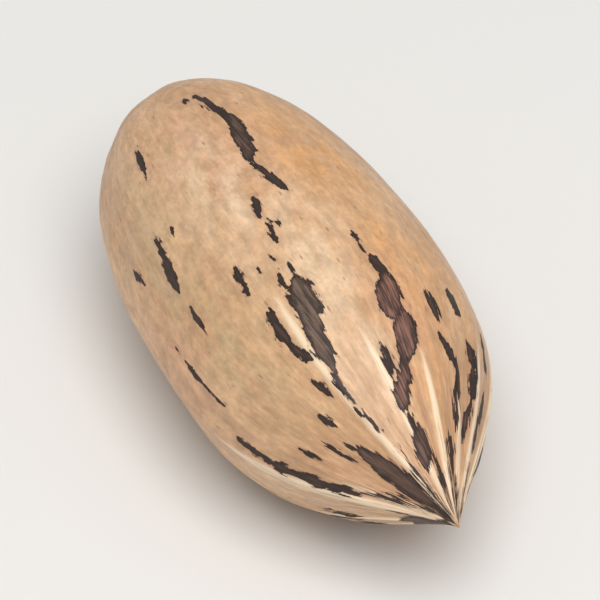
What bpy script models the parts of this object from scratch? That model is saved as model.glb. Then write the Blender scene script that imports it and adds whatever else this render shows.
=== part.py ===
"""A pecan in its shell, lying on its side: one closed solid, because the nut grew as one piece.

The nut's length runs along X, with its pointed tip at +X and its round base at -X, and Z is up.
The origin is under the nut's middle, on the surface that it rests on. A station is a share of
the length, from the base (0) to the tip (1). An angle round the nut is counted from its top,
and grows towards +Y.
"""

import math

import bmesh
import bpy
import numpy as np

# Driving sizes, in metres.
LENGTH = 0.044
WIDTH = 0.0200
HEIGHT = 0.0192
REST_DEPTH = 0.0006  # how much of the round belly the flat rest spot takes off

# The outline from base to tip.
WIDEST_AT = 0.48
BASE_FULLNESS = 0.39  # 0.5 would be an ellipse, and less is blunter
TIP_SHOULDER = 2.85  # more keeps the nut wide for longer
TIP_HOLLOW = 1.45  # over 1, the sides curve inwards before the tip
STUB_RADIUS = 0.0006  # the short blunt point that the tip ends in
STUB_FROM = 0.90
TIP_BEND = 0.0005  # how far the tip leans off the axis
TIP_BEND_ANGLE = 35.0
TIP_BEND_FROM = 0.55
NUB_RISE = 0.0006  # the small raised scar in the middle of the base
NUB_RADIUS = 0.0012

# The relief: heights in metres, angles in degrees.
SEAM_ANGLE = -96.0  # one of the two seams, with the other opposite
SEAM_HEIGHT = 0.00011
SEAM_HEIGHT_AT_TIP = 0.00030
SEAM_SPREAD = 6.0
CORNER_HEIGHT = 0.00014  # the four soft corners, two of which carry the seams
CORNER_HEIGHT_AT_TIP = 0.00026
RIDGES_FROM = 0.55
RIDGES_FULL = 0.86
RIDGE_SPREAD = 6.5
RIDGE_HEIGHT = 0.00030
RIDGES = (  # the ridges that run into the tip: angle, and share of the full height
    (-80.0, 0.8),
    (-31.0, 1.0),
    (-8.0, 0.5),
    (17.0, 0.7),
    (42.0, 0.6),
    (60.0, 0.8),
    (105.0, 0.6),
    (128.0, 0.8),
    (152.0, 0.5),
    (176.0, 1.0),
    (-154.0, 0.6),
    (-127.0, 0.9),
)
SWELL_HEIGHT = 0.00010
SWELL_WAVES = (2, 3, 5, 7, 9)
SEED = 12

# The mesh that carries the shape.
SEGMENTS = 88
RINGS = 56
TIP_RING_EVENNESS = 0.5  # 0 crowds the rings at the tip, as on a ball, and 1 spaces them evenly

SHELL_COLOR = (0.60, 0.39, 0.22, 1.0)
SHELL_ROUGHNESS = 0.5


def ease(value, start, end):
    """A smooth rise from 0 at start to 1 at end."""
    share = np.clip((value - start) / (end - start), 0.0, 1.0)
    return share * share * (3.0 - 2.0 * share)


def station_of(polar):
    """The station of a ring, from its polar angle on a ball (0 at the base)."""
    towards_tip = polar > math.pi / 2
    base_side = WIDEST_AT * (1.0 - np.cos(polar))
    turned = np.clip(polar / (math.pi / 2) - 1.0, 0.0, 1.0)
    even = TIP_RING_EVENNESS * turned
    crowded = (1.0 - TIP_RING_EVENNESS) * np.sin(turned * math.pi / 2)
    return np.where(towards_tip, WIDEST_AT + (1.0 - WIDEST_AT) * (even + crowded), base_side)


def girth_at(station):
    """The radius at a station, as a share of the greatest radius, without the tip's blunt end."""
    back = np.clip(1.0 - station / WIDEST_AT, 0.0, 1.0)
    forward = np.clip((station - WIDEST_AT) / (1.0 - WIDEST_AT), 0.0, 1.0)
    base_side = (1.0 - back**2) ** BASE_FULLNESS
    tip_side = (1.0 - forward**TIP_SHOULDER) ** TIP_HOLLOW
    return np.where(station < WIDEST_AT, base_side, tip_side)


def crest(angle, line, spread):
    """A rounded crest along one line, from 0 away from it to 1 on it. Line and spread are in degrees."""
    off = np.angle(np.exp(1j * (angle - math.radians(line))))
    return np.exp(-((off / math.radians(spread)) ** 2))


def relief_at(station, angle):
    """How far the shell stands out of its smooth outline, in metres."""
    near_tip = ease(station, RIDGES_FROM, RIDGES_FULL)
    corner = CORNER_HEIGHT + (CORNER_HEIGHT_AT_TIP - CORNER_HEIGHT) * near_tip
    seam = SEAM_HEIGHT + (SEAM_HEIGHT_AT_TIP - SEAM_HEIGHT) * near_tip
    height = corner * np.cos(4.0 * (angle - math.radians(SEAM_ANGLE)))
    for line in (SEAM_ANGLE, SEAM_ANGLE + 180.0):
        height += seam * crest(angle, line, SEAM_SPREAD)
    for line, share in RIDGES:
        height += share * RIDGE_HEIGHT * near_tip * crest(angle, line, RIDGE_SPREAD)
    rng = np.random.default_rng(SEED)
    for waves in SWELL_WAVES:
        phase, drift = rng.uniform(-math.pi, math.pi, 2)
        height += SWELL_HEIGHT / math.sqrt(waves) * np.sin(waves * angle + phase + drift * station)
    return height


def shape_points(directions):
    """Moves the points of a unit ball, whose base pole is at -X, to the surface of the nut."""
    polar = np.arccos(np.clip(-directions[:, 0], -1.0, 1.0))
    angle = np.arctan2(directions[:, 1], directions[:, 2])
    station = station_of(polar)
    girth = girth_at(station)
    stub = STUB_RADIUS * np.sqrt(1.0 - ease(station, STUB_FROM, 1.0) ** 2) * (station > WIDEST_AT)
    radius = np.hypot(girth * WIDTH / 2.0, stub)
    radius += relief_at(station, angle) * np.sqrt(girth)
    nub = NUB_RISE * np.exp(-((radius / NUB_RADIUS) ** 2)) * (station < WIDEST_AT)
    lean = TIP_BEND * ease(station, TIP_BEND_FROM, 1.0)
    return np.column_stack((
        station * LENGTH - nub,
        radius * np.sin(angle) + lean * math.sin(math.radians(TIP_BEND_ANGLE)),
        radius * np.cos(angle) + lean * math.cos(math.radians(TIP_BEND_ANGLE)),
    ))


def fit_to_sizes(points):
    """Brings the points to the driving sizes, with the origin under the middle."""
    low, high = points.min(axis=0), points.max(axis=0)
    sizes = np.array((LENGTH, WIDTH, HEIGHT + REST_DEPTH))
    points = (points - (low + high) / 2.0) * sizes / (high - low)
    points[:, 2] += sizes[2] / 2.0 - REST_DEPTH
    return points


def flatten_rest_spot(points):
    """Lifts what would reach below the surface to it, which makes the flat rest spot."""
    points[:, 2] = np.maximum(points[:, 2], 0.0)
    return points


def shell_material():
    material = bpy.data.materials.new("pecan_shell")
    material.use_nodes = True
    material.diffuse_color = SHELL_COLOR
    shader = material.node_tree.nodes["Principled BSDF"]
    shader.inputs["Base Color"].default_value = SHELL_COLOR
    shader.inputs["Roughness"].default_value = SHELL_ROUGHNESS
    shader.inputs["Metallic"].default_value = 0.0
    return material


def build_nut(collection):
    bm = bmesh.new()
    bmesh.ops.create_uvsphere(bm, u_segments=SEGMENTS, v_segments=RINGS, radius=1.0)
    mesh = bpy.data.meshes.new("nut_in_shell")
    bm.to_mesh(mesh)
    bm.free()
    ball = np.empty(len(mesh.vertices) * 3)
    mesh.vertices.foreach_get("co", ball)
    # The ball's axis is Z, and turning its coordinates round by one place lays it along X.
    directions = ball.reshape(-1, 3)[:, (2, 0, 1)]
    points = flatten_rest_spot(fit_to_sizes(shape_points(directions)))
    mesh.vertices.foreach_set("co", points.ravel())
    mesh.update()
    mesh.shade_smooth()
    mesh.materials.append(shell_material())
    nut = bpy.data.objects.new("nut_in_shell", mesh)
    collection.objects.link(nut)
    return nut


def main():
    for old in list(bpy.data.objects):
        bpy.data.objects.remove(old, do_unlink=True)
    collection = bpy.data.collections.new("pecan_in_shell")
    bpy.context.scene.collection.children.link(collection)
    build_nut(collection)


main()
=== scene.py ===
"""The looks of a pecan in its shell: one finely modelled shell around the plain solid, and a stage.

The nut lies along X with its pointed tip at +X and its round base at -X, and Z is up. A station is
a share of the length, from the base (0) to the tip (1). An angle round the nut is counted from its
top, and grows towards +Y. The file is laid out as an add-on, and is run as a script.
"""

import math

import bmesh
import bpy
import numpy as np
from bpy.props import FloatProperty, FloatVectorProperty, PointerProperty
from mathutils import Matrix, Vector


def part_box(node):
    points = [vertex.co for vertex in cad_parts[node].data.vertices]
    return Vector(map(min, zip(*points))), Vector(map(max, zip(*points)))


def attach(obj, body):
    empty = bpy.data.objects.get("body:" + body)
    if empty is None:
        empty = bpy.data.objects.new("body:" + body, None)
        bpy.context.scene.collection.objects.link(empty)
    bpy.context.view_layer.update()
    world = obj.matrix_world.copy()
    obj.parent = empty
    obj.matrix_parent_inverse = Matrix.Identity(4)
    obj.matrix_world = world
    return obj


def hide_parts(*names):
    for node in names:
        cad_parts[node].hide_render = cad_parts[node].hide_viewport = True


bl_info = {
    "name": "Pecan in shell",
    "version": (1, 0, 0),
    "blender": (4, 5, 0),
    "location": "View3D > Sidebar > Pecan",
    "description": "Makes a pecan in its shell, with streaks and ridges that run into the tip, and a stage",
    "category": "Add Mesh",
}

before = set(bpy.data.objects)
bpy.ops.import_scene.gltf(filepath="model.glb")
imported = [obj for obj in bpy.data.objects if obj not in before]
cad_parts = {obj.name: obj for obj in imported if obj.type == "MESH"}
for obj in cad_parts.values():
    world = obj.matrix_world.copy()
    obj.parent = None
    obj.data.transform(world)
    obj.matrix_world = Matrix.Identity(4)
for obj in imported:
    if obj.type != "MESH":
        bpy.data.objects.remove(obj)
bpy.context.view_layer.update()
NUT_LOW, NUT_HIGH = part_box("nut_in_shell")
MM = 0.001

# The form of the nut, as in the solid. Sizes are in metres, and angles in degrees.
LENGTH = NUT_HIGH.x - NUT_LOW.x
WIDTH = NUT_HIGH.y - NUT_LOW.y
HEIGHT = NUT_HIGH.z - NUT_LOW.z
REST_DEPTH = 0.0006
WIDEST_AT = 0.48
BASE_FULLNESS = 0.39
TIP_SHOULDER = 2.85
TIP_HOLLOW = 1.45
STUB_RADIUS = 0.0006
STUB_FROM = 0.90
TIP_BEND = 0.0005
TIP_BEND_ANGLE = 35.0
TIP_BEND_FROM = 0.55
NUB_RISE = 0.0006
NUB_RADIUS = 0.0012
SEAM_ANGLE = -96.0
SEAM_HEIGHT = 0.00011
SEAM_HEIGHT_AT_TIP = 0.00030
SEAM_SPREAD = 6.0
CORNER_HEIGHT = 0.00014
CORNER_HEIGHT_AT_TIP = 0.00026
RIDGES_FROM = 0.55
RIDGES_FULL = 0.86
RIDGE_SPREAD = 6.5
RIDGE_HEIGHT = 0.00030
RIDGES = (  # the ridges that run into the tip: angle, and share of the full height
    (-80.0, 0.8),
    (-31.0, 1.0),
    (-8.0, 0.5),
    (17.0, 0.7),
    (42.0, 0.6),
    (60.0, 0.8),
    (105.0, 0.6),
    (128.0, 0.8),
    (152.0, 0.5),
    (176.0, 1.0),
    (-154.0, 0.6),
    (-127.0, 0.9),
)
SWELL_HEIGHT = 0.00010
SWELL_WAVES = (2, 3, 5, 7, 9)
SWELL_SEED = 12

# The fine mesh.
SEGMENTS = 480
RINGS = 208
RING_CROWDING = 0.35  # how much closer the rings lie at both ends
TIP_RING_EVENNESS = 0.5
REST_ROUNDING = 0.00012  # how softly the rest spot runs into the round belly

# The fine relief, in metres.
CREST_WIDTH = 0.00024
CREST_HEIGHT = 0.00014
CREST_WANDER = 1.3  # degrees to either side
SEAM_LINE_HEIGHT = 0.00006
HOLLOW_WIDTH = 0.00085  # how far from a ridge the painted shade between the ridges begins
RIB_COUNT = 46  # the fine ribs between the ridges
RIB_HEIGHT = 0.000045
RIB_WIDTH = 0.00018
DENT_COUNT = 70
DENT_DEPTH = 0.00006
DENT_SIZES = (0.0008, 0.0026)
GRAIN_HEIGHT = 0.000010
UNEVEN_HEIGHT = 0.000035
MARK_HEIGHT = 0.000030
MARK_EDGE = 0.00016

# The scar in the middle of the base, in metres.
SCAR_RADIUS = 0.0016
SCAR_GROOVE = 0.00010
SCAR_PIT_RADIUS = 0.00035
SCAR_PIT_DEPTH = 0.00022
WRINKLE_COUNT = 13
WRINKLE_HEIGHT = 0.00005

# Grain places are in millimetres: along the nut, and round it on a cylinder of this radius.
GRAIN_RADIUS = 9.0
BASE_BLEND = 0.12  # before this station the patterns stop converging

# Kinds of dark mark: how grey-brown and how red-brown they are, and otherwise they are near black.
LINE = (0.15, 0.10)
BROWN = (0.55, 0.15)
WIDE = (1.0, 0.0)
RUST = (0.45, 1.0)
DARK_RUST = (0.0, 0.6)

# The marks that show best, each long and pointed at both ends: where it starts and ends along the
# nut, its angle at either end, and its half width in mm. A big blotch is made of several.
MARKS = (
    # The streak over the back, from the base.
    (LINE, 0.137, 0.155, -10, -10, 0.17),
    (LINE, 0.130, 0.265, -5, 0, 0.34),
    (BROWN, 0.225, 0.362, 1, -6, 0.62),
    (LINE, 0.360, 0.442, -6, -1, 0.38),
    (LINE, 0.420, 0.476, -13, -17, 0.30),
    (LINE, 0.480, 0.530, -14, -17, 0.26),
    (LINE, 0.488, 0.506, -11, -12, 0.16),
    (LINE, 0.542, 0.580, -21, -22, 0.15),
    (LINE, 0.566, 0.600, -15, -18, 0.18),
    # The wide blotch in the middle, and its tail.
    (LINE, 0.570, 0.630, -22, -25, 0.15),
    (WIDE, 0.598, 0.705, -18, -24, 0.92),
    (WIDE, 0.630, 0.768, -21, -29, 0.64),
    (LINE, 0.745, 0.812, -30, -31, 0.22),
    (LINE, 0.814, 0.858, -33, -29, 0.15),
    # The chain beside it.
    (LINE, 0.618, 0.690, -35, -37, 0.42),
    (LINE, 0.690, 0.732, -37, -33, 0.38),
    (LINE, 0.742, 0.780, -40, -38, 0.26),
    (LINE, 0.779, 0.808, -52, -50, 0.30),
    (LINE, 0.508, 0.580, -35, -37, 0.26),
    # The rust-coloured chain.
    (LINE, 0.562, 0.582, 12, 12, 0.20),
    (LINE, 0.585, 0.606, 12, 12, 0.24),
    (LINE, 0.606, 0.658, 13, 15, 0.40),
    (RUST, 0.648, 0.728, 15, 9, 0.98),
    (RUST, 0.716, 0.792, 15, 8, 0.84),
    (RUST, 0.776, 0.824, 7, 1, 0.46),
    (RUST, 0.800, 0.852, 2, -8, 0.58),
    (LINE, 0.852, 0.880, -5, -5, 0.22),
    (DARK_RUST, 0.868, 0.925, -2, -12, 0.50),
    (LINE, 0.760, 0.808, -2, -5, 0.32),
    # The right side.
    (LINE, 0.672, 0.732, 33, 35, 0.46),
    (LINE, 0.654, 0.708, 49, 51, 0.46),
    (LINE, 0.744, 0.800, 32, 43, 0.40),
    (LINE, 0.790, 0.880, 43, 38, 0.28),
    (LINE, 0.742, 0.785, 54, 58, 0.38),
    (LINE, 0.780, 0.832, 57, 57, 0.40),
    (DARK_RUST, 0.830, 0.890, 56, 48, 0.32),
    (LINE, 0.878, 0.930, 31, 31, 0.28),
    (LINE, 0.700, 0.780, 70, 73, 0.30),
    (LINE, 0.800, 0.900, 72, 66, 0.26),
    # The dark wedge at the tip, and the lines before it.
    (LINE, 0.822, 0.850, -56, -53, 0.22),
    (BROWN, 0.838, 0.965, -53, -50, 0.70),
    (LINE, 0.930, 0.992, -50, -54, 0.30),
    (LINE, 0.800, 0.855, -66, -63, 0.20),
    (LINE, 0.782, 0.826, -75, -74, 0.10),
    # Thin lines that run into the tip beside the ridges.
    (LINE, 0.880, 0.985, -27, -28, 0.10),
    (LINE, 0.905, 0.990, -72, -74, 0.12),
    (LINE, 0.900, 0.980, 2, 4, 0.12),
    (LINE, 0.890, 0.985, 23, 24, 0.10),
    (LINE, 0.930, 0.990, 36, 40, 0.13),
    (LINE, 0.900, 0.985, 66, 66, 0.12),
    (LINE, 0.905, 0.985, -103, -104, 0.10),
    # The left side.
    (LINE, 0.160, 0.246, -44, -46, 0.28),
    (LINE, 0.345, 0.460, -56, -61, 0.46),
    (LINE, 0.328, 0.376, -77, -75, 0.22),
    (LINE, 0.490, 0.556, -61, -62, 0.24),
    (LINE, 0.500, 0.650, -80, -79, 0.12),
    (LINE, 0.546, 0.564, -28, -28, 0.16),
    (LINE, 0.362, 0.380, -48, -48, 0.18),
    # The dark line beside the seam.
    (LINE, 0.675, 0.765, -89, -91, 0.26),
    (LINE, 0.745, 0.792, -91, -91, 0.40),
    (LINE, 0.786, 0.834, -90, -91, 0.38),
    (LINE, 0.826, 0.880, -91, -88, 0.26),
    (LINE, 0.876, 0.945, -85, -76, 0.18),
    (LINE, 0.800, 0.860, -122, -124, 0.14),
)

# The pale lines along the ridges, each with its start, end, angles and half width as above.
PALE_LINES = (
    (0.610, 0.830, -29, -34, 0.24),
    (0.780, 0.995, -34, -31, 0.22),
    (0.640, 0.995, -97, -97, 0.46),
    (0.850, 0.995, -83, -83, 0.20),
    (0.730, 0.990, -8, -8, 0.20),
    (0.780, 0.995, 17, 17, 0.24),
    (0.820, 0.990, 43, 43, 0.20),
    (0.740, 0.995, 62, 62, 0.26),
    (0.600, 0.995, 83, 83, 0.40),
    (0.800, 0.995, 105, 105, 0.22),
    (0.760, 0.995, 128, 128, 0.26),
    (0.820, 0.990, 152, 152, 0.20),
    (0.740, 0.995, 176, 176, 0.26),
    (0.800, 0.995, 206, 206, 0.22),
    (0.760, 0.995, 233, 233, 0.26),
)
PALE_EDGE = 0.16

# Rows of marks on the rest of the shell, drawn at random.
ROWS_FROM, ROWS_TO = 86.0, 228.0
ROWS_END = 0.94
ROW_STEP = 15.0
ROW_JITTER = 5.0
ROW_STARTS = (0.12, 0.55)
PIECE_LENGTHS = (0.015, 0.085)
GAP_LENGTHS = (0.010, 0.070)
PIECE_WIDTHS = (0.12, 0.48)
WIDE_SHARE = 0.16
WIDE_FROM = 0.35
WIDE_LENGTHS = (0.09, 0.17)
WIDE_WIDTHS = (0.60, 1.10)
MARK_SEED = 41
MARK_PLUMPNESS = 2.4
MARK_POINTEDNESS = 0.85
MARK_REACH = 1.6  # how far from a mark, in mm, its distance is still kept

# Soft patches of colour, among them painted highlight and painted shade: layer, station, angle, and the
# sizes along and round the nut in mm.
PATCHES = (
    ("warm", 0.33, 22, 8.0, 3.5),
    ("warm", 0.62, 28, 6.0, 2.6),
    ("warm", 0.84, 19, 6.0, 2.4),
    ("warm", 0.45, 120, 11.0, 5.0),
    ("warm", 0.75, 170, 8.0, 4.0),
    ("blush", 0.28, -24, 7.0, 4.5),
    ("blush", 0.55, -84, 9.0, 2.6),
    ("blush", 0.70, 14, 4.0, 2.4),
    ("blush", 0.30, 165, 9.0, 5.0),
    ("sage", 0.36, -58, 8.0, 4.0),
    ("sage", 0.62, -60, 9.0, 3.6),
    ("sage", 0.60, 215, 9.0, 4.0),
    # These three pale patches along the top are painted highlight.
    ("pale", 0.60, -8, 10.0, 2.6),
    ("pale", 0.76, -6, 6.0, 1.8),
    ("pale", 0.40, -20, 8.0, 3.0),
    ("pale", 0.80, -107, 5.0, 2.2),
    # The shade patches are painted shade.
    ("shade", 0.78, -74, 6.0, 2.6),
    ("shade", 0.64, -86, 6.0, 1.6),
    ("shade", 0.85, 52, 5.0, 2.4),
    ("shade", 0.80, 150, 6.0, 3.0),
    ("shade", 0.70, 215, 7.0, 2.5),
    ("pale", 0.50, 95, 9.0, 3.0),
)


class PecanShellSettings(bpy.types.PropertyGroup):
    """The sizes and colours of the shell."""

    tan: FloatVectorProperty(
        name="Tan", description="The shell's main colour", subtype="COLOR",
        size=3, min=0.0, max=1.0, default=(0.66, 0.41, 0.230),
    )
    deep_tan: FloatVectorProperty(
        name="Deep tan", description="The darker places of the plain shell", subtype="COLOR",
        size=3, min=0.0, max=1.0, default=(0.56, 0.320, 0.165),
    )
    warm: FloatVectorProperty(
        name="Warm", description="The orange patches", subtype="COLOR",
        size=3, min=0.0, max=1.0, default=(0.70, 0.355, 0.135),
    )
    blush: FloatVectorProperty(
        name="Blush", description="The pinkish patches", subtype="COLOR",
        size=3, min=0.0, max=1.0, default=(0.68, 0.375, 0.235),
    )
    sage: FloatVectorProperty(
        name="Sage", description="The greenish patches", subtype="COLOR",
        size=3, min=0.0, max=1.0, default=(0.54, 0.395, 0.215),
    )
    # Cream is also the colour of the pale patches, which along the top are painted highlight.
    cream: FloatVectorProperty(
        name="Cream", description="The pale ridges and worn places", subtype="COLOR",
        size=3, min=0.0, max=1.0, default=(0.86, 0.69, 0.49),
    )
    # Painted shade: this colour darkens the shell between the ridges near the tip, and the shade patches.
    painted_shade: FloatVectorProperty(
        name="Hollow", description="The shell between the ridges near the tip", subtype="COLOR",
        size=3, min=0.0, max=1.0, default=(0.38, 0.20, 0.105),
    )
    ink: FloatVectorProperty(
        name="Ink", description="The thin dark streaks", subtype="COLOR",
        size=3, min=0.0, max=1.0, default=(0.018, 0.009, 0.007),
    )
    umber: FloatVectorProperty(
        name="Umber", description="The wide grey-brown blotches", subtype="COLOR",
        size=3, min=0.0, max=1.0, default=(0.185, 0.115, 0.080),
    )
    rust: FloatVectorProperty(
        name="Rust", description="The reddish-brown blotches", subtype="COLOR",
        size=3, min=0.0, max=1.0, default=(0.290, 0.135, 0.095),
    )
    relief: FloatProperty(
        name="Relief", description="The strength of the fine relief", default=1.0, min=0.0, max=3.0,
    )
    gloss_roughness: FloatProperty(
        name="Roughness", description="How dull the plain shell is", subtype="FACTOR",
        default=0.42, min=0.0, max=1.0,
    )


class PecanStageSettings(bpy.types.PropertyGroup):
    """The floor, the lights and the camera."""

    floor_color: FloatVectorProperty(
        name="Floor", description="The floor's colour", subtype="COLOR",
        size=3, min=0.0, max=1.0, default=(0.77, 0.76, 0.74),
    )
    floor_size: FloatProperty(
        name="Floor size", description="The side of the floor", subtype="DISTANCE",
        default=3.0, min=0.1,
    )
    key_power: FloatProperty(
        name="Key light", description="Power of the large light above", subtype="POWER",
        unit="POWER", default=2.15, min=0.0,
    )
    sky_strength: FloatProperty(
        name="Sky", description="Strength of the even light from all round", default=0.48, min=0.0,
    )
    camera_azimuth: FloatProperty(
        name="Azimuth", description="Where the camera stands: 0 looks along +Y", subtype="ANGLE",
        default=math.radians(64.0),
    )
    camera_elevation: FloatProperty(
        name="Elevation", description="The camera's height above the horizon", subtype="ANGLE",
        default=math.radians(44.0),
    )
    camera_distance: FloatProperty(
        name="Distance", description="From the camera to the nut", subtype="DISTANCE",
        default=0.60, min=0.05,
    )
    view_width: FloatProperty(
        name="View width", description="What the picture takes in, at the nut", subtype="DISTANCE",
        default=0.0394, min=0.01,
    )
    shift_right: FloatProperty(
        name="Shift right", description="How far the camera moves to its right", subtype="DISTANCE",
        default=-0.00025,
    )
    shift_up: FloatProperty(
        name="Shift up", description="How far the camera moves to its upper side", subtype="DISTANCE",
        default=0.0011,
    )


def ease(value, start, end):
    """A smooth rise from 0 at start to 1 at end."""
    share = np.clip((value - start) / (end - start), 0.0, 1.0)
    return share * share * (3.0 - 2.0 * share)


def turn_between(angle, line):
    """The turn in radians from a line at some degrees to each angle in radians."""
    return np.angle(np.exp(1j * (angle - np.radians(line))))


def station_of(polar):
    """The station of a ring, from its polar angle on a ball (0 at the base)."""
    towards_tip = polar > math.pi / 2
    base_side = WIDEST_AT * (1.0 - np.cos(polar))
    turned = np.clip(polar / (math.pi / 2) - 1.0, 0.0, 1.0)
    even = TIP_RING_EVENNESS * turned
    crowded = (1.0 - TIP_RING_EVENNESS) * np.sin(turned * math.pi / 2)
    return np.where(towards_tip, WIDEST_AT + (1.0 - WIDEST_AT) * (even + crowded), base_side)


def girth_at(station):
    """The radius at a station, as a share of the greatest radius, without the tip's blunt end."""
    back = np.clip(1.0 - station / WIDEST_AT, 0.0, 1.0)
    forward = np.clip((station - WIDEST_AT) / (1.0 - WIDEST_AT), 0.0, 1.0)
    base_side = (1.0 - back**2) ** BASE_FULLNESS
    tip_side = (1.0 - forward**TIP_SHOULDER) ** TIP_HOLLOW
    return np.where(station < WIDEST_AT, base_side, tip_side)


def radius_at(station):
    """The radius at a station in metres, with the tip's blunt end."""
    stub = STUB_RADIUS * np.sqrt(1.0 - ease(station, STUB_FROM, 1.0) ** 2) * (station > WIDEST_AT)
    return np.hypot(girth_at(station) * WIDTH / 2.0, stub)


def crest(angle, line, spread):
    """A rounded crest along one line, from 0 away from it to 1 on it. Line and spread are in degrees."""
    return np.exp(-((turn_between(angle, line) / np.radians(spread)) ** 2))


def main_relief(station, angle):
    """The relief that the solid has too, in metres."""
    near_tip = ease(station, RIDGES_FROM, RIDGES_FULL)
    corner = CORNER_HEIGHT + (CORNER_HEIGHT_AT_TIP - CORNER_HEIGHT) * near_tip
    seam = SEAM_HEIGHT + (SEAM_HEIGHT_AT_TIP - SEAM_HEIGHT) * near_tip
    height = corner * np.cos(4.0 * (angle - math.radians(SEAM_ANGLE)))
    for line in (SEAM_ANGLE, SEAM_ANGLE + 180.0):
        height += seam * crest(angle, line, SEAM_SPREAD)
    for line, share in RIDGES:
        height += share * RIDGE_HEIGHT * near_tip * crest(angle, line, RIDGE_SPREAD)
    rng = np.random.default_rng(SWELL_SEED)
    for waves in SWELL_WAVES:
        phase, drift = rng.uniform(-math.pi, math.pi, 2)
        height += SWELL_HEIGHT / math.sqrt(waves) * np.sin(waves * angle + phase + drift * station)
    return height


def grain_places(station, angle):
    """Places in millimetres along the nut and round it, where patterns converge at the tip alone."""
    converging = ease(station, 0.0, BASE_BLEND)
    around = GRAIN_RADIUS * converging + radius_at(station) / MM * (1.0 - converging)
    return np.column_stack((station * LENGTH / MM, around * np.cos(angle), around * np.sin(angle)))


def soft_noise(places, size, seed, count=28):
    """Smooth noise of spread 1, whose features have the given size along and round the nut, in mm."""
    rng = np.random.default_rng(seed)
    turns = rng.normal(size=(count, 3)) * math.tau / (2.0 * np.array((size[0], size[1], size[1])))
    phases = rng.uniform(0.0, math.tau, count)
    return np.sin(places @ turns.T + phases).sum(axis=1) * math.sqrt(2.0 / count)


def wandering(line, station, seed):
    """A line's angle in degrees, which strays a little as it runs along the nut."""
    rng = np.random.default_rng(seed)
    first, second = rng.uniform(0.0, math.tau, 2)
    sway = 0.6 * np.sin(9.0 * station + first) + 0.4 * np.sin(23.0 * station + second)
    return line + CREST_WANDER * sway


def ridge_lines(station, angle, radius, width):
    """How near each place is to a ridge of some width, from 0 to 1. The ridges grow towards the tip."""
    spread = np.degrees(np.minimum(width / radius, 0.25))
    near_tip = ease(station, RIDGES_FROM + 0.06, RIDGES_FULL + 0.02)
    strength = np.zeros_like(station)
    for number, (line, share) in enumerate(RIDGES):
        along = wandering(line, station, number)
        strength = np.maximum(strength, share * near_tip * crest(angle, along, spread))
    return strength


def seam_lines(station, angle, radius, width):
    """How near each place is to a seam of some width, from 0 to 1."""
    spread = np.degrees(np.minimum(width / radius, 0.25))
    strength = 0.35 + 0.65 * ease(station, 0.45, 0.8)
    both = crest(angle, wandering(SEAM_ANGLE, station, 71), spread)
    both = np.maximum(both, crest(angle, wandering(SEAM_ANGLE + 180.0, station, 72), spread))
    return strength * ease(station, 0.01, 0.08) * both


def base_scar(station, angle, radius):
    """The groove round the base's scar, the pit in it and the wrinkles that run into it, in metres."""
    at_base = station < WIDEST_AT
    groove = np.exp(-(((radius - SCAR_RADIUS) / (0.35 * SCAR_RADIUS)) ** 2))
    pit = np.exp(-((radius / SCAR_PIT_RADIUS) ** 2))
    wrinkled = np.exp(-(((radius - SCAR_RADIUS) / (0.8 * SCAR_RADIUS)) ** 2))
    wrinkles = np.sin(WRINKLE_COUNT * angle + 2.0 * np.sin(3.0 * angle))
    return at_base * (WRINKLE_HEIGHT * wrinkled * wrinkles - SCAR_GROOVE * groove - SCAR_PIT_DEPTH * pit)


def fine_ribs(station, angle, radius):
    """Fine ribs that run into the tip, and a few short ones round the base, in metres."""
    rng = np.random.default_rng(RIB_COUNT)
    spread = np.degrees(np.minimum(RIB_WIDTH / radius, 0.12))
    height = np.zeros_like(station)
    for number in range(RIB_COUNT):
        line = number * 360.0 / RIB_COUNT + rng.uniform(-3.0, 3.0)
        begins = rng.uniform(0.60, 0.86)
        ends_at_base = rng.uniform(0.02, 0.10)
        strength = rng.uniform(0.3, 1.0)
        share = ease(station, begins, begins + 0.12) + 0.2 * (1.0 - ease(station, 0.0, ends_at_base))
        height += strength * share * crest(angle, wandering(line, station, 100 + number), spread)
    return RIB_HEIGHT * height


def dents(places):
    """Shallow dents, longer along the nut than round it, in metres."""
    rng = np.random.default_rng(DENT_COUNT)
    depth = np.zeros(len(places))
    for _ in range(DENT_COUNT):
        station, angle = rng.uniform(0.05, 0.85), rng.uniform(-math.pi, math.pi)
        size = rng.uniform(*DENT_SIZES) / MM
        middle = grain_places(np.array([station]), np.array([angle]))[0]
        off = (places - middle) / (1.7 * size, size, size)
        depth += rng.uniform(0.2, 1.0) * np.exp(-(off**2).sum(axis=1))
    return -DENT_DEPTH * depth


def row_marks():
    """The marks of the sides that the picture doesn't show: rows of dashes along the nut."""
    rng = np.random.default_rng(MARK_SEED)
    marks = []
    for row in np.arange(ROWS_FROM, ROWS_TO, ROW_STEP):
        angle = row + rng.uniform(-ROW_JITTER, ROW_JITTER)
        station = rng.uniform(*ROW_STARTS)
        while station < ROWS_END:
            wide = rng.random() < WIDE_SHARE and station > WIDE_FROM
            end = min(station + rng.uniform(*(WIDE_LENGTHS if wide else PIECE_LENGTHS)), ROWS_END + 0.02)
            half = rng.uniform(*(WIDE_WIDTHS if wide else PIECE_WIDTHS)) * (0.5 + 0.7 * station)
            kind = (WIDE, RUST, BROWN)[rng.integers(3)] if wide else LINE
            drift = rng.uniform(-2.0, 2.0)
            marks.append((kind, station, end, angle, angle + drift, half))
            if wide:
                overlap = station + 0.6 * (end - station)
                marks.append((kind, overlap, end + 0.04, angle + drift, angle - drift, 0.6 * half))
            station = end + rng.uniform(*GAP_LENGTHS)
    return tuple(marks)


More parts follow.
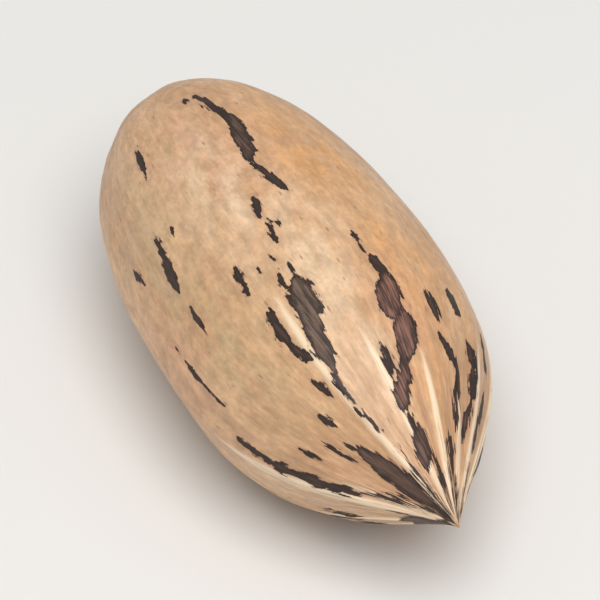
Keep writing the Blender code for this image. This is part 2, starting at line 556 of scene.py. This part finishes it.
def pointed_distance(station, angle, radius, start, end, start_angle, end_angle, half):
    """The distance in mm to the edge of a long piece with pointed ends, and which places it is for."""
    share = (station - start) / (end - start)
    past = (np.abs(share - 0.5) - 0.5) * (end - start) * LENGTH / MM
    near = np.flatnonzero(past < MARK_REACH)
    inner = np.clip(share[near], 0.0, 1.0)
    line = start_angle + (end_angle - start_angle) * inner
    width = half * (1.0 - np.abs(2.0 * inner - 1.0) ** MARK_PLUMPNESS) ** MARK_POINTEDNESS
    across = np.abs(turn_between(angle[near], line)) * radius[near] / MM - width
    beyond = np.maximum(past[near], 0.0)
    return near, np.where(beyond > 0.0, np.hypot(beyond, np.maximum(across, 0.0)), across)


def mark_fields(station, angle, radius):
    """The distance in mm to the nearest mark's edge, less than 0 inside it, and that mark's two tones."""
    nearest = np.full(len(station), MARK_REACH)
    grey = np.zeros(len(station))
    red = np.zeros(len(station))
    for (greyness, redness), *piece in MARKS + row_marks():
        near, away = pointed_distance(station, angle, radius, *piece)
        closer = away < nearest[near]
        chosen = near[closer]
        nearest[chosen] = away[closer]
        grey[chosen], red[chosen] = greyness, redness
    return nearest, grey, red


def pale_field(station, angle, radius):
    """How pale the ridges are, from 0 to 1."""
    strength = np.zeros(len(station))
    for piece in PALE_LINES:
        near, away = pointed_distance(station, angle, radius, *piece)
        strength[near] = np.maximum(strength[near], 1.0 - ease(away, -PALE_EDGE, PALE_EDGE))
    return strength


def patch_layers(places):
    """The soft patches of colour, as one strength from 0 to 1 for each layer."""
    layers = {}
    for layer, station, angle, along, across in PATCHES:
        middle = grain_places(np.array([station]), np.array([math.radians(angle)]))[0]
        off = (places - middle) / (along, across, across)
        strength = np.exp(-(off**2).sum(axis=1))
        layers[layer] = np.maximum(layers.get(layer, 0.0), strength)
    return layers


def fit_to_solid(points):
    """Brings the points to the solid's box, with its softly rounded rest spot."""
    low, high = points.min(axis=0), points.max(axis=0)
    sizes = np.array((LENGTH, WIDTH, HEIGHT + REST_DEPTH))
    points = (points - (low + high) / 2.0) * sizes / (high - low)
    points[:, 2] += sizes[2] / 2.0 - REST_DEPTH
    points[:, 2] = (points[:, 2] + np.hypot(points[:, 2], REST_ROUNDING)) / 2.0
    low, high = points.min(axis=0), points.max(axis=0)
    target_low, target_high = np.array(NUT_LOW), np.array(NUT_HIGH)
    return target_low + (points - low) * (target_high - target_low) / (high - low)


def build_shell_mesh(name, relief):
    """The fine shell: a ball whose rings run along X, moved to the surface of the nut."""
    bm = bmesh.new()
    bm.loops.layers.uv.new("OFBake")
    bmesh.ops.create_uvsphere(bm, u_segments=SEGMENTS, v_segments=RINGS, radius=1.0, calc_uvs=True)
    mesh = bpy.data.meshes.new(name)
    bm.to_mesh(mesh)
    bm.free()
    ball = np.empty(len(mesh.vertices) * 3)
    mesh.vertices.foreach_get("co", ball)
    ball = ball.reshape(-1, 3)
    # The ball's axis becomes X, and the join of its map runs along the nut's underside.
    polar = np.arccos(np.clip(-ball[:, 2], -1.0, 1.0))
    polar = polar - RING_CROWDING * np.sin(2.0 * polar) / 2.0
    angle = np.arctan2(-ball[:, 1], ball[:, 0])
    station = station_of(polar)
    girth = girth_at(station)
    radius = radius_at(station)
    at_line = np.maximum(radius, 0.5 * MM)
    places = grain_places(station, angle)

    edge_distance, grey, red = mark_fields(station, angle, at_line)
    edge_distance = edge_distance + 0.10 * soft_noise(places, (0.9, 0.28), 5)
    seams = seam_lines(station, angle, at_line, CREST_WIDTH)
    fine = CREST_HEIGHT * ridge_lines(station, angle, at_line, CREST_WIDTH) + SEAM_LINE_HEIGHT * seams
    fine += fine_ribs(station, angle, at_line) + dents(places)
    fine += UNEVEN_HEIGHT * soft_noise(places, (7.0, 3.0), 6)
    fine += GRAIN_HEIGHT * soft_noise(places, (4.0, 0.5), 7)
    fine += MARK_HEIGHT * (1.0 - ease(edge_distance * MM, -MARK_EDGE, MARK_EDGE))
    surface = radius + (main_relief(station, angle) + relief * fine) * np.sqrt(girth)
    nub = NUB_RISE * np.exp(-((surface / NUB_RADIUS) ** 2)) * (station < WIDEST_AT)
    nub += relief * base_scar(station, angle, surface)
    lean = TIP_BEND * ease(station, TIP_BEND_FROM, 1.0)
    points = np.column_stack((
        station * LENGTH - nub,
        surface * np.sin(angle) + lean * math.sin(math.radians(TIP_BEND_ANGLE)),
        surface * np.cos(angle) + lean * math.cos(math.radians(TIP_BEND_ANGLE)),
    ))
    mesh.vertices.foreach_set("co", fit_to_solid(points).ravel())

    # Painted shade: away from the ridges near the tip the shell is darkened, where shade falls between them.
    beside = 1.0 - ridge_lines(station, angle, at_line, HOLLOW_WIDTH)
    layers = {
        "edge_distance": edge_distance,
        "grey": grey,
        "red": red,
        "ridges": pale_field(station, angle, at_line),
        "painted_hollow_shade": beside * ease(station, RIDGES_FROM + 0.10, RIDGES_FULL + 0.04),
        "scar": np.exp(-((surface / SCAR_RADIUS) ** 4)) * (station < WIDEST_AT),
        "station": station,
        **patch_layers(places),
    }
    for layer, values in layers.items():
        mesh.attributes.new(layer, "FLOAT", "POINT").data.foreach_set("value", values)
    grain = mesh.attributes.new("grain", "FLOAT_VECTOR", "POINT")
    grain.data.foreach_set("vector", places.ravel())
    mesh.shade_smooth()
    mesh.update()
    return mesh


class Painter:
    """Adds nodes to one material. A size is in millimetres, along the nut and round it."""

    def __init__(self, name):
        self.material = bpy.data.materials.new(name)
        self.material.use_nodes = True
        self.tree = self.material.node_tree
        self.shader = self.tree.nodes["Principled BSDF"]

    def node(self, kind, **settings):
        made = self.tree.nodes.new(kind)
        for setting, value in settings.items():
            setattr(made, setting, value)
        return made

    def give(self, socket, value):
        """Links a socket to the value, or sets it on the socket."""
        if isinstance(value, bpy.types.NodeSocket):
            self.tree.links.new(value, socket)
        elif socket.type == "RGBA" and len(value) == 3:
            socket.default_value = (*value, 1.0)
        else:
            socket.default_value = value

    def layer(self, name):
        return self.node("ShaderNodeAttribute", attribute_name=name).outputs["Fac"]

    def grain(self, size):
        """Places on the shell, divided by a size."""
        places = self.node("ShaderNodeAttribute", attribute_name="grain").outputs["Vector"]
        scaled = self.node("ShaderNodeVectorMath", operation="DIVIDE")
        self.give(scaled.inputs[0], places)
        self.give(scaled.inputs[1], (size[0], size[1], size[1]))
        return scaled.outputs["Vector"]

    def noise(self, size, detail=2.0, roughness=0.5, shift=0.0):
        """Noise around 0.5."""
        made = self.node("ShaderNodeTexNoise", noise_dimensions="4D")
        self.give(made.inputs["Vector"], self.grain(size))
        self.give(made.inputs["W"], shift)
        self.give(made.inputs["Scale"], 1.0)
        self.give(made.inputs["Detail"], detail)
        self.give(made.inputs["Roughness"], roughness)
        return made.outputs["Fac"]

    def cells(self, size, randomness=1.0):
        made = self.node("ShaderNodeTexVoronoi")
        self.give(made.inputs["Vector"], self.grain(size))
        self.give(made.inputs["Scale"], 1.0)
        self.give(made.inputs["Randomness"], randomness)
        return made.outputs["Distance"], made.outputs["Color"]

    def maths(self, operation, first, second=0.0, third=0.0):
        made = self.node("ShaderNodeMath", operation=operation)
        for socket, value in zip(made.inputs, (first, second, third)):
            self.give(socket, value)
        return made.outputs["Value"]

    def times(self, *values):
        product = values[0]
        for value in values[1:]:
            product = self.maths("MULTIPLY", product, value)
        return product

    def plus(self, *values):
        total = values[0]
        for value in values[1:]:
            total = self.maths("ADD", total, value)
        return total

    def ramp(self, value, start, end, low=0.0, high=1.0):
        """A smooth change from low to high while the value goes from start to end."""
        made = self.node("ShaderNodeMapRange", interpolation_type="SMOOTHSTEP")
        for socket, number in zip(made.inputs, (value, start, end, low, high)):
            self.give(socket, number)
        return made.outputs["Result"]

    def blend(self, share, first, second, how="MIX"):
        made = self.node("ShaderNodeMix", data_type="RGBA", blend_type=how)
        self.give(made.inputs["Factor"], share)
        colors = [socket for socket in made.inputs if socket.type == "RGBA"]
        self.give(colors[0], first)
        self.give(colors[1], second)
        return next(socket for socket in made.outputs if socket.type == "RGBA")


def plain_shell_color(paint, looks):
    """Tan wood with soft patches, painted highlight along the top and painted shade, mottling and a fine
    grain.
    """
    color = paint.blend(paint.ramp(paint.noise((9.0, 4.0), 3.0), 0.36, 0.66), looks.tan, looks.deep_tan)
    # The pale layer is painted highlight along the top and pales the shell by the seams; the shade layer is
    # painted shade.
    for layer, tone, strength, shift in (
        ("warm", looks.warm, 0.95, 3.0),
        ("blush", looks.blush, 0.80, 5.0),
        ("sage", looks.sage, 0.75, 7.0),
        ("pale", looks.cream, 0.50, 9.0),
        ("shade", looks.painted_shade, 0.60, 21.0),
    ):
        broken = paint.ramp(paint.noise((3.2, 1.4), 3.0, 0.6, shift), 0.30, 0.66)
        color = paint.blend(paint.times(paint.layer(layer), broken, strength), color, tone)
    mottle = paint.ramp(paint.noise((1.3, 0.7), 3.0, 0.6, 1.0), 0.30, 0.70, 0.84, 1.14)
    grain = paint.ramp(paint.noise((2.6, 0.26), 2.0, 0.6, 2.0), 0.30, 0.70, 0.93, 1.05)
    speckle = paint.ramp(paint.noise((0.42, 0.26), 2.0, 0.6, 17.0), 0.32, 0.68, 0.93, 1.05)
    shade = paint.node("ShaderNodeCombineColor")
    both = paint.times(mottle, grain, speckle)
    for socket in shade.inputs:
        paint.give(socket, both)
    return paint.blend(1.0, color, shade.outputs["Color"], "MULTIPLY")


def mark_masks(paint):
    """Where the dark marks are, how deep inside them, and the stain round them, each from 0 to 1."""
    frayed = paint.maths("SUBTRACT", paint.noise((1.6, 0.11), 2.0, 0.6, 11.0), 0.5)
    ragged = paint.maths("SUBTRACT", paint.noise((0.30, 0.20), 2.0, 0.6, 12.0), 0.5)
    distance = paint.plus(paint.layer("edge_distance"), paint.times(frayed, 0.42), paint.times(ragged, 0.34))
    mask = paint.ramp(distance, 0.035, -0.035)
    inside = paint.ramp(distance, -0.05, -0.42)
    patchy = paint.ramp(paint.noise((1.1, 0.3), 2.0, 0.6, 18.0), 0.35, 0.65)
    stain = paint.times(paint.ramp(distance, 0.22, 0.0), patchy)
    return mask, inside, stain


def build_shell_material(looks):
    paint = Painter("pecan_shell")
    station = paint.layer("station")
    near_tip = paint.ramp(station, 0.62, 0.95)
    color = plain_shell_color(paint, looks)

    # Painted shade between the ridges near the tip.
    darker = paint.ramp(paint.noise((3.0, 0.5), 2.0, 0.6, 20.0), 0.35, 0.65, 0.10, 0.80)
    color = paint.blend(paint.times(paint.layer("painted_hollow_shade"), darker), color, looks.painted_shade)
    worn = paint.ramp(paint.noise((2.4, 0.5), 2.0, 0.6, 4.0), 0.25, 0.50, 0.25, 1.0)
    color = paint.blend(paint.times(paint.layer("ridges"), worn, 0.90), color, looks.cream)

    line_noise = paint.noise((6.0, 0.16), 2.0, 0.55, 6.0)
    threshold = paint.ramp(station, 0.60, 1.0, 0.28, 0.43)
    fine_lines = paint.ramp(paint.maths("SUBTRACT", line_noise, threshold), 0.015, -0.015)
    color = paint.blend(paint.times(fine_lines, near_tip, 0.60), color, looks.rust)

    distance, chance = paint.cells((1.5, 0.42))
    picked = paint.node("ShaderNodeSeparateColor")
    paint.give(picked.inputs["Color"], chance)
    fleck = paint.times(
        paint.ramp(distance, 0.20, 0.12),
        paint.ramp(picked.outputs["Red"], 0.80, 0.86),
        0.65,
    )
    color = paint.blend(fleck, color, looks.rust)

    uneven = paint.ramp(paint.noise((0.6, 0.6), 3.0, 0.6, 19.0), 0.35, 0.60, 0.35, 0.9)
    color = paint.blend(paint.times(paint.layer("scar"), uneven), color, looks.rust)

    mask, inside, stain = mark_masks(paint)
    color = paint.blend(paint.times(stain, 0.40), color, looks.rust)
    body = paint.blend(paint.layer("grey"), looks.ink, looks.umber)
    body = paint.blend(paint.layer("red"), body, looks.rust)
    fibres = paint.ramp(paint.noise((2.0, 0.16), 2.0, 0.6, 13.0), 0.35, 0.65, 0.1, 0.9)
    body = paint.blend(paint.times(inside, fibres), looks.ink, body)
    color = paint.blend(paint.times(mask, 0.99), color, body)
    paint.give(paint.shader.inputs["Base Color"], color)

    sheen = paint.noise((2.5, 0.9), 3.0, 0.6, 14.0)
    dull = looks.gloss_roughness
    roughness = paint.ramp(sheen, 0.3, 0.7, dull - 0.06, dull + 0.08)
    roughness = paint.plus(roughness, paint.times(mask, 0.16))
    paint.give(paint.shader.inputs["Roughness"], roughness)
    paint.shader.inputs["Specular IOR Level"].default_value = 0.42

    height = paint.plus(
        paint.times(paint.noise((5.0, 0.20), 2.0, 0.6, 2.0), 0.010),
        paint.times(paint.noise((0.8, 0.5), 3.0, 0.6, 15.0), 0.012),
        paint.times(paint.noise((0.16, 0.12), 2.0, 0.6, 16.0), 0.004),
        paint.times(mask, 0.012),
        paint.times(fleck, -0.010),
    )
    bump = paint.node("ShaderNodeBump")
    paint.give(bump.inputs["Strength"], 1.0)
    paint.give(bump.inputs["Distance"], MM)
    paint.give(bump.inputs["Height"], height)
    paint.give(paint.shader.inputs["Normal"], bump.outputs["Normal"])
    return paint.material


class PECAN_OT_add_shell(bpy.types.Operator):
    """Make the fine shell, which stands for the plain solid of the nut"""

    bl_idname = "pecan.add_shell"
    bl_label = "Add shell"

    def execute(self, context):
        looks = context.scene.pecan_shell
        mesh = build_shell_mesh("pecan_shell", looks.relief)
        mesh.materials.append(build_shell_material(looks))
        shell = bpy.data.objects.new("pecan_shell", mesh)
        context.scene.collection.objects.link(shell)
        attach(shell, "root")
        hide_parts("nut_in_shell")
        return {"FINISHED"}


def direction(azimuth, elevation):
    """The way from the nut towards a place at these angles, in radians."""
    return Vector((
        math.cos(elevation) * math.sin(azimuth),
        -math.cos(elevation) * math.cos(azimuth),
        math.sin(elevation),
    ))


def point_at(thing, place, target):
    thing.location = place
    thing.rotation_euler = (target - place).to_track_quat("-Z", "Y").to_euler()


def add_floor(scene, stage):
    bm = bmesh.new()
    bmesh.ops.create_grid(bm, x_segments=1, y_segments=1, size=stage.floor_size / 2.0)
    mesh = bpy.data.meshes.new("floor")
    bm.to_mesh(mesh)
    bm.free()
    paint = Painter("floor")
    paint.give(paint.shader.inputs["Base Color"], tuple(stage.floor_color))
    paint.shader.inputs["Roughness"].default_value = 0.6
    paint.shader.inputs["Specular IOR Level"].default_value = 0.2
    mesh.materials.append(paint.material)
    floor = bpy.data.objects.new("floor", mesh)
    scene.collection.objects.link(floor)


def add_area_light(scene, name, place, target, size, power):
    light = bpy.data.lights.new(name, "AREA")
    light.shape = "DISK"
    light.size = size
    light.energy = power
    lamp = bpy.data.objects.new(name, light)
    scene.collection.objects.link(lamp)
    point_at(lamp, place, target)


def add_camera(scene, stage, middle):
    camera = bpy.data.cameras.new("camera")
    camera.angle = 2.0 * math.atan(stage.view_width / 2.0 / stage.camera_distance)
    camera.clip_start = 0.01
    camera.clip_end = 10.0
    viewer = bpy.data.objects.new("camera", camera)
    scene.collection.objects.link(viewer)
    way = direction(stage.camera_azimuth, stage.camera_elevation)
    right = Vector((0.0, 0.0, 1.0)).cross(way).normalized()
    target = middle + stage.shift_right * right + stage.shift_up * way.cross(right)
    point_at(viewer, target + stage.camera_distance * way, target)
    scene.camera = viewer


class PECAN_OT_add_stage(bpy.types.Operator):
    """Make the floor, the lights and the camera"""

    bl_idname = "pecan.add_stage"
    bl_label = "Add stage"

    def execute(self, context):
        scene, stage = context.scene, context.scene.pecan_stage
        middle = (NUT_LOW + NUT_HIGH) / 2.0
        add_floor(scene, stage)
        key_way = direction(stage.camera_azimuth + math.radians(10.0), math.radians(64.0))
        add_area_light(scene, "key", middle + 0.5 * key_way, middle, 0.40, stage.key_power)
        world = bpy.data.worlds.new("soft_sky")
        world.use_nodes = True
        background = world.node_tree.nodes["Background"]
        background.inputs["Color"].default_value = (1.0, 0.99, 0.97, 1.0)
        background.inputs["Strength"].default_value = stage.sky_strength
        scene.world = world
        scene.view_settings.view_transform = "Standard"
        add_camera(scene, stage, middle)
        return {"FINISHED"}


class VIEW3D_PT_pecan(bpy.types.Panel):
    """Lists the pieces and their settings"""

    bl_label = "Pecan in shell"
    bl_space_type = "VIEW_3D"
    bl_region_type = "UI"
    bl_category = "Pecan"

    def draw(self, context):
        for operator, settings in (
            ("pecan.add_shell", context.scene.pecan_shell),
            ("pecan.add_stage", context.scene.pecan_stage),
        ):
            box = self.layout.box()
            box.operator(operator)
            for name in settings.__annotations__:
                box.prop(settings, name)


CLASSES = (
    PecanShellSettings,
    PecanStageSettings,
    PECAN_OT_add_shell,
    PECAN_OT_add_stage,
    VIEW3D_PT_pecan,
)


def register():
    for made in CLASSES:
        bpy.utils.register_class(made)
    bpy.types.Scene.pecan_shell = PointerProperty(type=PecanShellSettings)
    bpy.types.Scene.pecan_stage = PointerProperty(type=PecanStageSettings)


def unregister():
    del bpy.types.Scene.pecan_stage
    del bpy.types.Scene.pecan_shell
    for made in reversed(CLASSES):
        bpy.utils.unregister_class(made)


def main():
    register()
    bpy.ops.pecan.add_shell()
    bpy.ops.pecan.add_stage()


if __name__ == "__main__":
    main()
